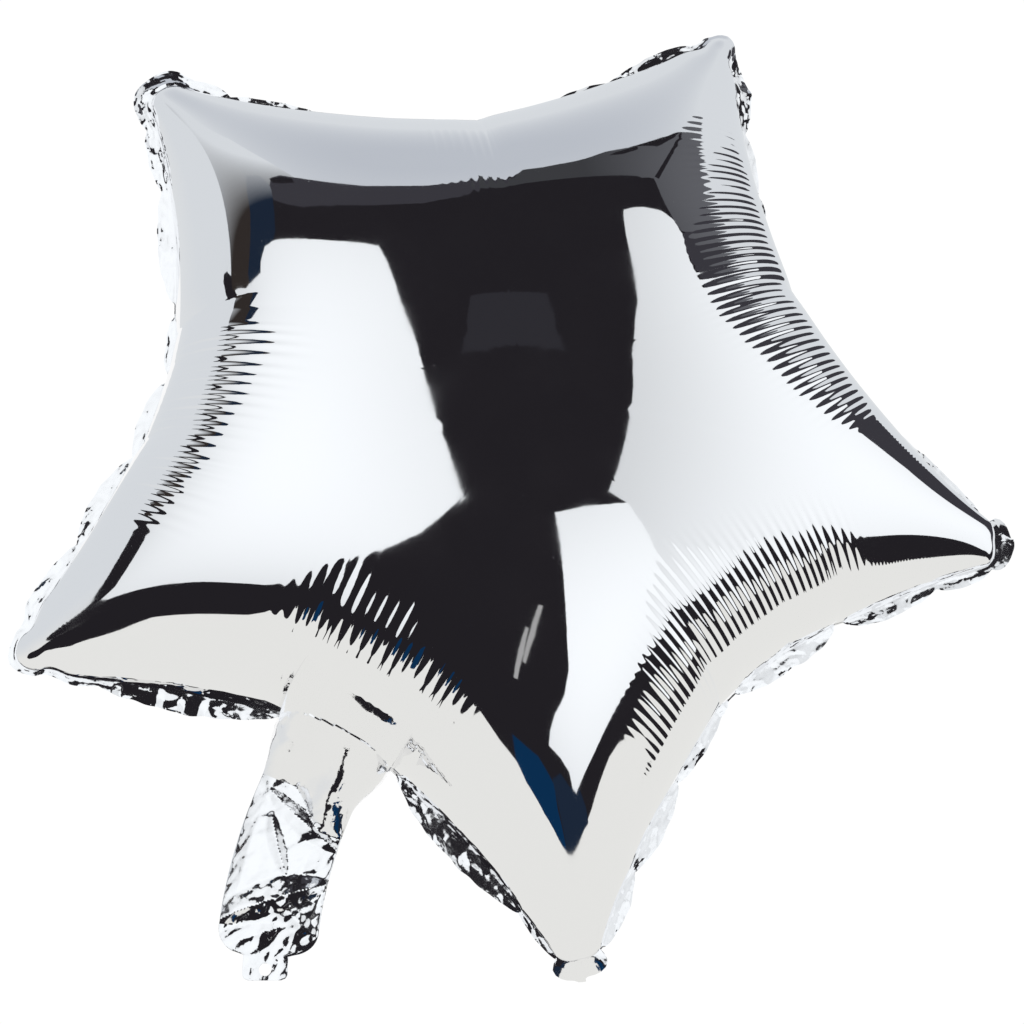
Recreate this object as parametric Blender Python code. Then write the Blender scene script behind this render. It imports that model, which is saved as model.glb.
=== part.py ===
"""An inflated star balloon of metallised film, with its flat filling neck.

The star stands upright in the XZ plane with its front facing -Y, one arm up and the neck down.
The origin is the star's centre. Two bulged panels meet along a star-shaped seam, a flat welded
border runs round it, and the neck hangs from the lowest notch on a fold line.
The real film is about 0.03 mm thick. It is drawn as thin walls, so that each region is a solid.
Flat outlines are written as (across, along): across runs sideways and along runs outwards.
"""

import math

import bmesh
import bpy
import numpy as np
from mathutils import Vector

# Star, in metres from its centre
ARMS = 5
SEAM_TIP_R = 0.222
SEAM_NOTCH_R = 0.1458
SEAM_SAG = 0.0085
BELLY = 0.076
FULLNESS = 1.5
BORDER_TIP_WIDTH = 0.0075
BORDER_MID_WIDTH = 0.0070
BORDER_NOTCH_WIDTH = 0.0028
BORDER_THICKNESS = 0.0008

# Neck, along its own centre line from the border down to the tie tab. The line is an arc, whose
# lean from straight down towards +X grows from the root to the tab.
NECK_LEAN_ROOT = math.radians(-2.5)
NECK_LEAN_TAB = math.radians(28.0)
NECK_ROOT_X = -0.0010
NECK_HALF_WIDTH = 0.0200
NECK_SHOULDER = 0.0790
NECK_END = 0.0890
NECK_PLY = 0.0008
FOLD_DEPTH = 0.0100
FOLD_BEVEL = 0.0009

# Tie tab at the neck's end
TAB_END = 0.0990
TAB_HALF_WIDTH = 0.0090
TAB_CORNER_R = 0.0025
TAB_HOLE_R = 0.0025
TAB_HOLE_INSET = 0.0042

# Fit between touching pieces, and the panels' drawn wall as a share of their distance from the centre
GAP = 0.0003
WALL_SHARE = 0.015

# Share of half an arm's edge taken by a corner tab, and of the lowest ones by the neck's root
CORNER_SHARE = 0.10
NECK_ROOT_SHARE = 0.18

# How finely the shapes are drawn, and how closely their places are worked out
RAYS_PER_HALF_ARM = 8
RINGS = 9
BORDER_STEPS = 10
ARC_STEPS = 6
HOLE_STEPS = 20
FIT_STEPS = 100
WAVES = 4
ROOT_STEPS = 4
SIDE_STEPS = 6
NEAR = 0.000001

HALF_ARM = math.pi / ARMS
ARM_NAMES = ("top", "right", "lower_right", "lower_left", "left")
NOTCH_NAMES = ("upper_right", "right_side", "bottom", "left_side", "upper_left")

# Finishes: base colour, metallic, roughness
FOIL_COLOURS = {
    "panel_foil": ((0.90, 0.90, 0.91, 1.0), 1.0, 0.06),
    "border_foil": ((0.86, 0.87, 0.89, 1.0), 1.0, 0.14),
    "neck_foil": ((0.84, 0.85, 0.88, 1.0), 1.0, 0.12),
}


def clear_scene():
    for old in list(bpy.data.objects):
        bpy.data.objects.remove(old, do_unlink=True)


def foil(name):
    """The Principled material of one kind of film surface."""
    colour, metallic, roughness = FOIL_COLOURS[name]
    material = bpy.data.materials.get(name) or bpy.data.materials.new(name)
    material.use_nodes = True
    shader = material.node_tree.nodes["Principled BSDF"]
    shader.inputs["Base Color"].default_value = colour
    shader.inputs["Metallic"].default_value = metallic
    shader.inputs["Roughness"].default_value = roughness
    return material


def seam_half(share):
    """Point and outward normal on half an arm's seam, from the tip at 0 to the notch at 1."""
    tip = Vector((0.0, SEAM_TIP_R))
    notch = SEAM_NOTCH_R * Vector((math.sin(HALF_ARM), math.cos(HALF_ARM)))
    chord = notch - tip
    out = Vector((-chord.y, chord.x)).normalized()
    point = tip + chord * share - out * (4 * SEAM_SAG * share * (1 - share))
    along = chord - out * (4 * SEAM_SAG * (1 - 2 * share))
    return point, Vector((-along.y, along.x)).normalized()


def border_width(share):
    """Width of the welded border, through its three given widths."""
    at_tip = BORDER_TIP_WIDTH * (1 - share) * (1 - 2 * share)
    at_middle = BORDER_MID_WIDTH * 4 * share * (1 - share)
    at_notch = BORDER_NOTCH_WIDTH * share * (2 * share - 1)
    return at_tip + at_middle + at_notch


def on_star(point, arm, side=1):
    """A point of half an arm, turned to its place in the star as (x, z)."""
    turn = 2 * HALF_ARM * arm
    across, along = side * point.x, point.y
    x = along * math.sin(turn) + across * math.cos(turn)
    z = along * math.cos(turn) - across * math.sin(turn)
    return Vector((x, z))


def membrane_waves():
    """Weights of five-armed waves that bring a pressed membrane to zero height along the seam."""
    points = [seam_half(step / FIT_STEPS)[0] for step in range(FIT_STEPS + 1)]
    radius = np.array([point.length for point in points]) / SEAM_NOTCH_R
    angle = np.array([math.atan2(point.x, point.y) for point in points])
    order = ARMS * np.arange(WAVES + 1)
    waves = radius[:, None] ** order * np.cos(order * angle[:, None])
    return np.linalg.lstsq(waves, radius**2 / 4, rcond=None)[0]


MEMBRANE = membrane_waves()


def membrane_share(radius, angle):
    """Height of the pressed membrane, as a share of its height at the centre."""
    scaled = radius / SEAM_NOTCH_R
    waves = sum(
        weight * scaled ** (ARMS * wave) * math.cos(ARMS * wave * angle)
        for wave, weight in enumerate(MEMBRANE)
    )
    return (waves - scaled**2 / 4) / MEMBRANE[0]


def membrane_reach(radius, angle):
    """Radius next to the seam at which the membrane comes down to zero."""
    low, high = radius - 2 * SEAM_SAG, radius + SEAM_SAG
    while high - low > NEAR:
        middle = (low + high) / 2
        if membrane_share(middle, angle) > 0:
            low = middle
        else:
            high = middle
    return low


def panel_height(membrane):
    """Bulge of a panel. It stands nearly square to the seam, as film does that can't stretch."""
    return BELLY * math.sqrt(1 - (1 - min(max(membrane, 0.0), 1.0)) ** FULLNESS)


def panel_ray(index):
    """Seam point (x, z) on one of the rays from the centre, its radius and its membrane reach."""
    rays_per_arm = 2 * RAYS_PER_HALF_ARM
    arm, step = divmod(index + RAYS_PER_HALF_ARM, rays_per_arm)
    step -= RAYS_PER_HALF_ARM
    point, _ = seam_half(abs(step) / RAYS_PER_HALF_ARM)
    angle = math.atan2(point.x, point.y)
    seam = on_star(point, arm % ARMS, -1 if step < 0 else 1)
    return seam, angle, membrane_reach(point.length, angle)


def bulged_sheet():
    """One panel's open sheet: a round sheet spun from a spoke, then shaped to the star."""
    rays = 2 * RAYS_PER_HALF_ARM * ARMS
    sheet = bmesh.new()
    spoke = [sheet.verts.new((0, 0, ring)) for ring in range(RINGS + 1)]
    links = [sheet.edges.new(pair) for pair in zip(spoke, spoke[1:])]
    bmesh.ops.spin(
        sheet, geom=spoke + links, cent=(0, 0, 0), axis=(0, 1, 0), angle=math.tau,
        steps=rays, use_merge=True, use_duplicate=False,
    )
    bmesh.ops.remove_doubles(sheet, verts=sheet.verts, dist=GAP / 10)
    table = [panel_ray(index) for index in range(rays)]
    for vert in sheet.verts:
        ring = round(vert.co.length)
        index = round(math.atan2(vert.co.x, vert.co.z) / (math.tau / rays)) % rays
        seam, angle, reach = table[index]
        out = math.sin(math.pi / 2 * ring / RINGS)
        height = panel_height(membrane_share(out * reach, angle)) if ring < RINGS else 0.0
        vert.co = (out * seam.x, -height, out * seam.y)
    return sheet


def film_panel(name, turn):
    """A bulged panel with a thin wall, open where it meets the other one."""
    shell = bulged_sheet()
    outer = shell.verts[:] + shell.edges[:] + shell.faces[:]
    rim = [edge for edge in shell.edges if edge.is_boundary]
    copied = bmesh.ops.duplicate(shell, geom=outer)
    inner = copied["vert_map"]
    for vert in copied["geom"]:
        if isinstance(vert, bmesh.types.BMVert):
            vert.co *= 1 - WALL_SHARE
    for edge in rim:
        first, second = edge.verts
        shell.faces.new((first, second, inner[second], inner[first]))
    bmesh.ops.recalc_face_normals(shell, faces=shell.faces)
    bmesh.ops.translate(shell, verts=shell.verts, vec=(0, -GAP / 2, 0))
    mesh = bpy.data.meshes.new(name)
    shell.to_mesh(mesh)
    shell.free()
    panel = add_piece(name, mesh, "panel_foil")
    panel.rotation_euler.z = turn
    for polygon in mesh.polygons:
        polygon.use_smooth = True
    return panel


def add_piece(name, mesh, material):
    piece = bpy.data.objects.new(name, mesh)
    mesh.materials.append(foil(material))
    bpy.data.collections["star_foil_balloon"].objects.link(piece)
    return piece


def flat_piece(name, outlines, thickness, material, middle=0.0):
    """A flat piece in the XZ plane, from closed outlines of (x, z), the later ones being holes."""
    curve = bpy.data.curves.new(name, "CURVE")
    curve.dimensions = "2D"
    curve.fill_mode = "BOTH"
    curve.extrude = thickness / 2
    for outline in outlines:
        spline = curve.splines.new("POLY")
        spline.points.add(len(outline) - 1)
        for point, place in zip(spline.points, outline):
            point.co = (place.x, place.y, 0, 1)
        spline.use_cyclic_u = True
    guide = bpy.data.objects.new(name + "_outline", curve)
    bpy.data.collections["star_foil_balloon"].objects.link(guide)
    guide.rotation_euler.x = math.pi / 2
    guide.location.y = middle
    bpy.context.view_layer.update()
    graph = bpy.context.evaluated_depsgraph_get()
    mesh = bpy.data.meshes.new_from_object(guide.evaluated_get(graph))
    mesh.name = name
    mesh.transform(guide.matrix_world)
    bpy.data.objects.remove(guide, do_unlink=True)
    plate = bmesh.new()
    plate.from_mesh(mesh)
    bmesh.ops.remove_doubles(plate, verts=plate.verts, dist=GAP / 10)
    bmesh.ops.recalc_face_normals(plate, faces=plate.faces)
    plate.to_mesh(mesh)
    plate.free()
    mesh.materials.clear()
    return add_piece(name, mesh, material)


def border_line(arm, side, shares, width_share):
    """Points beside one half arm's seam, as far out as this share of the border's width."""
    line = []
    for share in shares:
        point, normal = seam_half(share)
        reach = GAP + width_share * (border_width(share) - GAP)
        line.append(on_star(point + normal * reach, arm, side))
    return line


def welded_border(index):
    """The flat border on both sides of one notch, between two corner tabs."""
    start = CORNER_SHARE + GAP / (seam_half(1)[0] - seam_half(0)[0]).length
    shares = [start + (1 - start) * step / BORDER_STEPS for step in range(BORDER_STEPS + 1)]
    after = (index + 1) % ARMS
    outer = border_line(index, 1, shares, 1) + border_line(after, -1, shares[-2::-1], 1)
    inner = border_line(index, 1, shares, 0) + border_line(after, -1, shares[-2::-1], 0)
    name = "border_" + NOTCH_NAMES[index]
    flat_piece(name, [outer + inner[::-1]], BORDER_THICKNESS, "border_foil")


def corner_tab(arm):
    """The border's rounded corner round the tip of one arm."""
    tip, normal = seam_half(0)
    sweep = math.atan2(normal.x, normal.y)
    start = CORNER_SHARE
    shares = [start, start / 2]
    right = border_line(arm, 1, shares, 1)
    left = border_line(arm, -1, shares[::-1], 1)
    arc = []
    for step in range(2 * ARC_STEPS + 1):
        angle = sweep * (1 - step / ARC_STEPS)
        ray = Vector((math.sin(angle), math.cos(angle)))
        arc.append(on_star(tip + ray * BORDER_TIP_WIDTH, arm))
    seat = border_line(arm, -1, [start], 0)
    seat.append(on_star(tip + Vector((0, GAP / math.sin(math.pi / 2 - sweep))), arm))
    seat += border_line(arm, 1, [start], 0)
    name = "corner_" + ARM_NAMES[arm]
    flat_piece(name, [right + arc + left + seat], BORDER_THICKNESS, "border_foil")


def neck_root_z():
    """Height of the border's outer edge at the lowest notch."""
    return -(SEAM_NOTCH_R + BORDER_NOTCH_WIDTH)


def on_neck(across, down):
    """A point of the neck, from across its curved centre line and down along it, as (x, z)."""
    bend = (NECK_LEAN_TAB - NECK_LEAN_ROOT) / TAB_END
    lean = NECK_LEAN_ROOT + bend * down
    x = NECK_ROOT_X + (math.cos(NECK_LEAN_ROOT) - math.cos(lean)) / bend
    z = neck_root_z() - (math.sin(lean) - math.sin(NECK_LEAN_ROOT)) / bend
    return Vector((x + across * math.cos(lean), z + across * math.sin(lean)))


def neck_side_at(across, level):
    """Where a line along the neck crosses a level line near its root."""
    above, below = 0.0, NECK_SHOULDER
    while below - above > NEAR:
        down = (above + below) / 2
        if on_neck(across, down).y > level:
            above = down
        else:
            below = down
    return on_neck(across, above)


def fold_z():
    """Height of the level line that the neck folds on, which is the joint's axis."""
    return neck_root_z() - FOLD_DEPTH


def thin_to_fold(piece, level):
    """Thins a plate from both faces to an edge in its middle, so that its neighbour can turn there."""
    plate = bmesh.new()
    plate.from_mesh(piece.data)
    whole = plate.verts[:] + plate.edges[:] + plate.faces[:]
    bmesh.ops.bisect_plane(plate, geom=whole, plane_co=(0, 0, 0), plane_no=(0, 1, 0))
    for vert in plate.verts:
        if abs(vert.co.z - level) < GAP / 10 and abs(vert.co.y) > GAP:
            vert.co.z += FOLD_BEVEL
    plate.to_mesh(piece.data)
    plate.free()


def neck_root():
    """The short part of the neck above its fold, spreading out to the border."""
    level = fold_z() + GAP
    shares = [1 - NECK_ROOT_SHARE * step / ROOT_STEPS for step in range(ROOT_STEPS, -1, -1)]
    border = border_line(2, 1, shares, 1) + border_line(3, -1, shares[-2::-1], 1)
    seat = [point - Vector((0, GAP)) for point in border]
    ends = [neck_side_at(-NECK_HALF_WIDTH, level), neck_side_at(NECK_HALF_WIDTH, level)]
    return flat_piece("neck_root", [seat + ends], 2 * NECK_PLY + GAP, "neck_foil")


def neck_outline():
    """Outline of the neck below its fold: long sides, then round shoulders into the tab."""
    level = fold_z() - GAP
    sides = []
    for side in (1, -1):
        inner = side * TAB_HALF_WIDTH
        line = [neck_side_at(side * NECK_HALF_WIDTH, level)]
        for step in range(1, SIDE_STEPS):
            down = FOLD_DEPTH + (NECK_SHOULDER - FOLD_DEPTH) * step / SIDE_STEPS
            line.append(on_neck(side * NECK_HALF_WIDTH, down))
        for step in range(ARC_STEPS + 1):
            turn = math.pi / 2 * step / ARC_STEPS
            across = inner + (side * NECK_HALF_WIDTH - inner) * math.cos(turn)
            down = NECK_SHOULDER + (NECK_END - NECK_SHOULDER) * math.sin(turn)
            line.append(on_neck(across, down))
        sides.append(line)
    return sides[0] + sides[1][::-1]


def neck_ply(name, side):
    """One of the neck's two plies, which lie flat against each other."""
    middle = side * (NECK_PLY + GAP) / 2
    ply = flat_piece(name, [neck_outline()], NECK_PLY, "neck_foil", middle)
    level = fold_z() - GAP
    far = side * (NECK_PLY + GAP / 2)
    for vert in ply.data.vertices:
        if abs(vert.co.z - level) < GAP / 10 and abs(vert.co.y - far) < GAP / 10:
            vert.co.z -= FOLD_BEVEL
    return ply


def tie_tab():
    """The narrow tab at the neck's end, with the round hole that a ribbon is tied through."""
    top = NECK_END + GAP
    outline = [on_neck(TAB_HALF_WIDTH, top)]
    for side in (1, -1):
        corner = []
        for step in range(ARC_STEPS + 1):
            turn = math.pi / 2 * step / ARC_STEPS
            across = TAB_HALF_WIDTH - TAB_CORNER_R * (1 - math.cos(turn))
            down = TAB_END - TAB_CORNER_R * (1 - math.sin(turn))
            corner.append(on_neck(side * across, down))
        outline += corner[::side]
    outline.append(on_neck(-TAB_HALF_WIDTH, top))
    hole = []
    for step in range(HOLE_STEPS):
        turn = math.tau * step / HOLE_STEPS
        across = TAB_HOLE_R * math.cos(turn)
        down = TAB_END - TAB_HOLE_INSET + TAB_HOLE_R * math.sin(turn)
        hole.append(on_neck(across, down))
    return flat_piece("tie_tab", [outline, hole], BORDER_THICKNESS, "neck_foil")


def set_origin(piece, place):
    """Moves a piece's origin and leaves its shape where it is."""
    for vert in piece.data.vertices:
        vert.co -= place
    piece.location = place


def main():
    clear_scene()
    collection = bpy.data.collections.new("star_foil_balloon")
    bpy.context.scene.collection.children.link(collection)
    film_panel("front_panel", 0.0)
    film_panel("back_panel", math.pi)
    for index in range(ARMS):
        welded_border(index)
        corner_tab(index)
    thin_to_fold(neck_root(), fold_z() + GAP)
    fold = Vector((0, 0, fold_z()))
    for piece in (neck_ply("neck_front_ply", -1), neck_ply("neck_back_ply", 1), tie_tab()):
        set_origin(piece, fold)


main()
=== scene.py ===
"""Looks of an inflated star balloon of metallised film, with its flat filling neck.

The star stands upright in the XZ plane with its front facing -Y. Its two panels are bulged sheets
that are crimped along their seam, a crumpled flange runs round them, and the flat neck hangs from
the lowest notch. Every length is in metres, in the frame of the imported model.
"""

import math

import bpy
import numpy as np
from mathutils import Matrix, Vector
from mathutils.geometry import delaunay_2d_cdt


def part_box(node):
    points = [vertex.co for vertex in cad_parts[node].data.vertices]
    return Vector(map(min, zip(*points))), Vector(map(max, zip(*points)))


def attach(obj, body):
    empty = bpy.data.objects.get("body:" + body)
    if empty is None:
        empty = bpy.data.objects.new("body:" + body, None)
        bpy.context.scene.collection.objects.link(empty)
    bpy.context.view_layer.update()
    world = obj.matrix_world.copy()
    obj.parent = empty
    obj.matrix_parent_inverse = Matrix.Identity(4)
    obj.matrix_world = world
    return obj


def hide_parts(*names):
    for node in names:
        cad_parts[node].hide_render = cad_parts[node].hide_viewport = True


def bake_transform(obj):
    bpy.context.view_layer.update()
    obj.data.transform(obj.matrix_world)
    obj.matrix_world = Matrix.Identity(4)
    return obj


bl_info = {
    "name": "Star foil balloon looks",
    "version": (1, 0, 0),
    "blender": (4, 5, 0),
    "location": "3D View > Sidebar > Balloon",
    "description": "Builds the film, flange, neck and studio of a star foil balloon",
    "category": "Object",
}

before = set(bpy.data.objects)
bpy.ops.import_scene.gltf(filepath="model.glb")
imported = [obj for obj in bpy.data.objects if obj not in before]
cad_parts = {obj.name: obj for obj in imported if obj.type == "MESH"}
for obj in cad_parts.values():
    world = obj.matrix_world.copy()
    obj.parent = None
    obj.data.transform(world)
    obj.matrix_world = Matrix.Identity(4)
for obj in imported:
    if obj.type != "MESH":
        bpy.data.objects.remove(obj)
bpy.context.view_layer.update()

# Star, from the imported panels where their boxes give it
ARMS = 5
HALF_ARM = math.pi / ARMS
PANEL_LOW, PANEL_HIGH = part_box("front_panel")
BELLY = -PANEL_LOW.y
FULLNESS = 1.5  # how much fuller the bulge is than a pressed membrane
SEAM_TIP_R = PANEL_HIGH.z - 0.0025
SEAM_NOTCH_R = 0.1458
TIP_ROUND_R = 0.0085
TIP_TURN = math.radians(63)  # the round tip's arc, from the arm's middle line to its side
TIP_SHARE = 0.08  # the round tip's share of half an arm's seam
SIDE_PULL = 0.065  # how far an arm's side runs straight on from the round tip
WAVES = 8
FOOT_BEND = 1.5  # how the mesh's columns crowd towards the tip on an arm's middle line

# How far the film puffs out past the plain outline on each arm's two sides, clockwise, and the
# share of a side over which that fades at the notch
ARM_PUFFS = (
    (0.0025, 0.0010), (0.0010, 0.0050), (0.0015, 0.0030), (0.0030, 0.0035), (0.0000, 0.0015),
)
PUFF_FADE = 0.55
# How far each arm's tip is drawn out to a point, and the film beside it drawn in, and where
TIP_SHAPES = ((0.004, 0.003), (0.0, 0.0), (0.0, 0.0), (0.003, 0.003), (0.0, 0.0))
POINT_REACH = 0.005
SHOULDER_PLACE, SHOULDER_REACH = 0.012, 0.007

# Crimps: how far the deep ones and the faint ones run along the seam, before and after each notch,
# their spacing there and their depth as a share of the usual one
CRIMP_SPANS = (
    ((0.082, 0.100), (0.058, 0.116)), ((0.062, 0.110), (0.054, 0.078)),
    ((0.038, 0.070), (0.040, 0.072)), ((0.068, 0.128), (0.010, 0.044)),
    ((0.020, 0.062), (0.010, 0.030)),
)
CRIMP_PITCHES = (0.0031, 0.0032, 0.0043, 0.0040, 0.0036)
CRIMP_SHARES = (1.0, 1.0, 1.1, 1.4, 0.45)
CRIMP_START = (0.002, 0.020)  # how far in from the rim the crimps start, and are full
CRIMP_NARROWING = 0.45  # how much shorter they are where they end along the seam
FAINT_SHARE = 0.14  # the faint crimps are twice as close
FAINT_END = (0.020, 0.008)  # how far in they end, and are full

# Long folds that cross the crimps: notch, distance from it along the seam at the rim and at the
# fold's inner end, how far in it reaches, and its depth
FRONT_FOLDS = (
    (4, 0.0060, 0.0040, 0.054, 0.0007),
    (0, -0.0040, -0.0080, 0.033, 0.0006),
    (1, 0.0160, 0.0140, 0.051, 0.0009),
    (1, -0.0500, -0.0540, 0.029, 0.0008),
    (1, -0.0240, -0.0220, 0.014, 0.0004),
    (2, 0.0340, 0.0430, 0.035, 0.0004),
    (2, 0.0230, 0.0250, 0.052, 0.0009),
    (2, -0.0230, -0.0110, 0.049, 0.0009),
    (2, -0.0320, -0.0330, 0.030, 0.0006),
    (3, 0.0160, 0.0230, 0.038, 0.0006),
    (3, -0.0340, -0.0270, 0.038, 0.0006),
)
BACK_FOLDS = (
    (0, 0.0120, 0.0150, 0.050, 0.0008),
    (0, -0.0310, -0.0340, 0.034, 0.0006),
    (1, -0.0060, -0.0080, 0.052, 0.0008),
    (2, 0.0280, 0.0310, 0.050, 0.0009),
    (2, -0.0240, -0.0220, 0.048, 0.0009),
    (3, 0.0060, 0.0080, 0.044, 0.0007),
    (3, -0.0520, -0.0550, 0.032, 0.0006),
    (4, -0.0150, -0.0180, 0.046, 0.0007),
    (4, 0.0380, 0.0400, 0.034, 0.0006),
)
FOLD_PINCH = 2.4  # how far a fold draws the rim in, for each unit of its depth
FOLD_PINCH_REACH = 0.011
# A fold's sharp line and its soft slopes: share of its depth and width
FOLD_LINE, FOLD_SLOPES = (0.30, 0.0010), (0.60, 0.006)

# Flange, in leaves between the folds: notch, start and end along the seam from it, width, crumple
LEAVES = (
    (0, -0.130, -0.088, 0.0070, 1.3), (0, -0.092, -0.056, 0.0056, 0.7),
    (0, -0.060, -0.044, 0.0044, 0.6), (0, -0.046, -0.008, 0.0030, 0.6),
    (0, 0.012, 0.034, 0.0034, 0.7), (0, 0.031, 0.058, 0.0046, 0.6),
    (0, 0.055, 0.122, 0.0052, 0.9),
    (1, -0.128, -0.098, 0.0062, 1.3), (1, -0.102, -0.054, 0.0064, 1.1),
    (1, -0.050, 0.004, 0.0074, 1.1), (1, 0.008, 0.052, 0.0050, 0.9),
    (1, 0.049, 0.094, 0.0070, 0.9), (1, 0.090, 0.126, 0.0060, 0.9),
    (2, -0.128, -0.100, 0.0030, 0.7), (2, -0.104, -0.028, 0.0080, 1.0),
    (2, 0.024, 0.104, 0.0084, 0.8), (2, 0.096, 0.128, 0.0034, 0.8),
    (3, -0.130, -0.080, 0.0064, 1.2), (3, -0.084, -0.037, 0.0072, 1.2),
    (3, -0.039, -0.002, 0.0062, 0.9), (3, 0.002, 0.028, 0.0040, 0.8),
    (3, 0.034, 0.090, 0.0076, 0.9), (3, 0.084, 0.122, 0.0068, 1.7),
    (4, -0.128, -0.100, 0.0062, 1.5), (4, -0.106, -0.052, 0.0064, 1.3),
    (4, -0.056, -0.008, 0.0040, 0.8), (4, 0.010, 0.044, 0.0042, 1.0),
    (4, 0.040, 0.080, 0.0052, 1.1), (4, 0.072, 0.130, 0.0058, 1.3),
)
# How far the flange leans towards the back: millimetres from each notch and degrees
LEANS = (
    (
        (-126, 2), (-120, 2), (-117, 12), (-113, 12), (-110, 1), (-93, 1), (-89, 14), (-60, 14),
        (-57, 2), (-50, 2), (-46, 14), (5, 14), (28, 7), (34, -1), (54, -1), (60, 7), (128, 8),
    ),
    ((-125, 2), (-57, 3), (-50, 9), (-2, 10), (50, 11), (125, 10)),
    (
        (-125, 20), (-103, 20), (-98, 3), (-32, 3), (-22, 36), (20, 36), (25, 1), (56, 1), (59, 13),
        (65, 13), (68, 1), (74, 1), (77, 13), (92, 13), (96, 1), (126, 1),
    ),
    ((-126, 9), (-100, 7), (-80, 4), (-60, 9), (-4, 9), (10, 12), (84, 12), (100, 5), (126, 12)),
    (
        (-128, -6), (-104, -6), (-98, -1), (-60, -1), (-50, 26), (-26, 26), (-18, 4), (-8, 4),
        (24, 1), (84, 1), (90, -8), (95, 1), (128, 2),
    ),
)
# The leaf round each arm's tip: reach to both sides of the tip, width, lean, crumple, and how far
# it runs straight on from the arm instead of fanning out
CORNERS = (
    (0.010, 0.0046, 32, 0.8, 0.5), (0.0084, 0.0086, -9, 0.2, 1.0), (0.0080, 0.0110, 40, 0.2, 1.0),
    (0.010, 0.0034, 6, 1.2, 0.6), (0.020, 0.0078, 4, 2.6, 0.2),
)
CORNER_PINCH = 0.22
LEAST_FLANGE = 0.0007
LEAST_LEAN = 36.0  # degrees, where the flange is at its narrowest

# Neck, along an arc that leans towards +X as it goes down
NECK_LEAN_ROOT = math.radians(-2.5)
NECK_LEAN_TAB = math.radians(28.0)
NECK_ROOT_X = -0.0010
NECK_ROOT_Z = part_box("neck_root")[1].z
NECK_HALF_WIDTH = 0.0200
NECK_ROOT_HALF_WIDTH = 0.0255
NECK_TOP = -0.0200  # its hidden top, inside the star
NECK_FLARE = 0.0240
NECK_MOUTH_ENDS = (0.0220, 0.0360)  # how far down the neck stays open, at its left and right
NECK_TWIST = 0.20
NECK_SHOULDER = 0.0790
NECK_END = 0.0890
TAB_END = 0.0990
TAB_HALF_WIDTH = 0.0090
TAB_CORNER_R = 0.0025
TAB_HOLE_R = 0.0025
TAB_HOLE_INSET = 0.0042

# Folds in the neck: its two ends as share of the half width and distance down, how far its two
# slopes reach up and down from its crest, and the crest's height
NECK_FOLDS = (
    (-0.80, 0.026, 1.05, 0.042, 0.0040, 0.0052, 0.0017),
    (-0.55, 0.034, 0.15, 0.057, 0.0030, 0.0040, 0.0013),
    (-1.10, 0.078, 1.10, 0.056, 0.0085, 0.0060, 0.0026),
    (-1.00, 0.088, 0.20, 0.078, 0.0050, 0.0070, 0.0014),
    (-0.10, 0.066, 0.95, 0.080, 0.0040, 0.0040, 0.0009),
    (-0.30, 0.010, 0.10, 0.024, 0.0040, 0.0050, 0.0016),
)

ARM_NAMES = ("top", "right", "lower_right", "lower_left", "left")
NOTCH_NAMES = ("upper_right", "right_side", "bottom", "left_side", "upper_left")

# Camera, from the photographed view
VIEW_AZIMUTH = math.radians(1.36)
VIEW_ELEVATION = math.radians(-16.57)
VIEW_ROLL = math.radians(28.64)
VIEW_DISTANCE = 0.90
VIEW_CENTRE = Vector((0.0176, 0.0, -0.0248))
VIEW_LENS = 74.1

# Studio: outlines as seen from the star, in degrees right and up from the camera
LEFT_SOFTBOX = (
    (-50, 45.7), (-49, 49.2), (-46.3, 51.5), (-40.1, 53.4), (-28.7, 54.8), (-19, 54.9), (-11, 54.3),
    (-6.6, 53.6), (-4.7, 50.8), (0, 42.8), (4.2, 37.1), (6.4, 33.1), (7.6, 29), (7.9, 22.9),
    (5, 19.5), (1, 14.3), (-5.2, 8.1), (-10.4, 3), (-13.2, -1), (-17, -8), (-21, -13),
    (-26.3, -15), (-31.6, -14.1), (-40.3, -11), (-47, -7.3), (-52, -3.8), (-56.5, 0), (-59.7, 4.5),
    (-60, 9), (-62.9, 16.1), (-64.7, 23), (-66.7, 28), (-68.5, 34.6), (-69.5, 38.4), (-66, 40),
    (-62, 41.5),
)
RIGHT_SOFTBOX = (
    (28.9, 61.8), (33.5, 62.7), (39.2, 62.6), (43.1, 61.2), (45.1, 58.7), (44.6, 55), (46, 52),
    (55, 49.5), (65, 47), (80, 45), (90, 45), (97, 44), (101, 37), (104, 24), (105, 6),
    (105, 0), (100, -6), (92, -14), (84, -21.5), (79.3, -21), (73, -20), (68, -17.2),
    (60.8, -15.1), (54, -12), (48.8, -9.6), (41.4, -2.2), (25.5, 20.6), (22.3, 23.2),
    (22.7, 30.3), (23.8, 37.1), (27.2, 43.9), (28.1, 48.5), (28.4, 58.7),
)
LOW_SOFTBOX = (
    (16.7, 21.7), (19.8, 22), (25.5, 20.6), (41.4, -2.2), (48.8, -9.6), (48.8, -12),
    (47.7, -16.4), (42.6, -22.1), (35.7, -28.9), (28.3, -33.5), (24.4, -35.7), (21.5, -35.2),
    (19.8, -32.3), (15.3, -30), (10.5, -28.3), (12.4, -24.9), (15.3, -20.9), (19.8, -16.4),
    (21.2, -10.7), (20.4, -2.7), (18.7, 10.9),
)
DARK_CEILING = (
    (-71.1, 38), (-55, 36), (-45, 30), (-30, 20), (20, 10), (45, 30), (20, 60), (7, 76),
    (4, 74.5), (0, 73), (-10, 72.6), (-28, 72.6), (-34, 76), (-45, 79), (-60, 72), (-69, 60),
    (-70.5, 54), (-71.3, 46),
)
DARK_STEM = (
    (8.5, 78), (18, 80), (22, 82), (60, 84), (64, 80), (64, 72), (62, 62), (48, 58), (45, 30),
    (20, 10), (-4, 20), (-10, 50), (-4, 66), (5, 75),
)
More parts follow.
